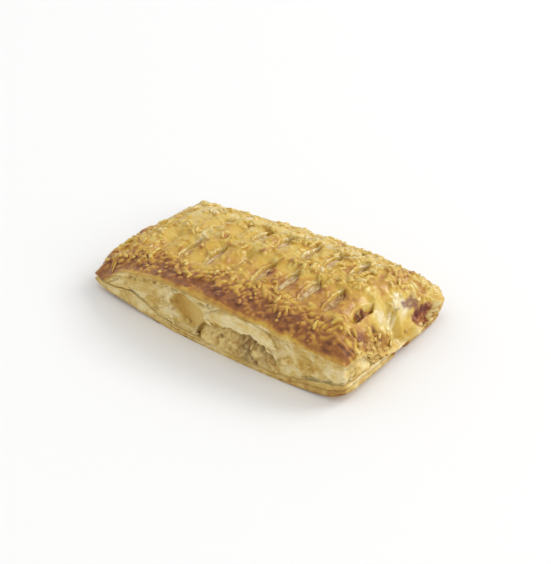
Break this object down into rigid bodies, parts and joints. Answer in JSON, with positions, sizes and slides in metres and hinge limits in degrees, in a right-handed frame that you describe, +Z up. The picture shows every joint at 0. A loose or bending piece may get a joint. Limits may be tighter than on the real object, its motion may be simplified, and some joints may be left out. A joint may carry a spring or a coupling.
{
  "type": "cheese puff pastry",
  "caption": "Oblong baked puff pastry with a slit, cheese-topped upper sheet over a cheese filling that shows in the slits and at one torn side, on a thin lower sheet with curled ends.",
  "frame": {"origin": "centre of the bounding box on the surface that the pastry rests on", "axes": "+X along the pastry towards its pinched right end, +Y from the tall torn side to the low far side, +Z up"},
  "size_m": [0.14, 0.0848, 0.0304],
  "materials": {
    "crust": "egg-glazed golden puff dough, brown at the near edge and pale and flaky on the sides, with baked cheese shreds",
    "filling": "soft pale baked cheese filling, stringy where it is torn",
    "base_crust": "dry golden layered puff dough, browner underneath"
  },
  "bodies": {
    "root": {"top_sheet": "crust", "filling": "filling", "bottom_sheet": "base_crust"}
  },
  "joints": []
}
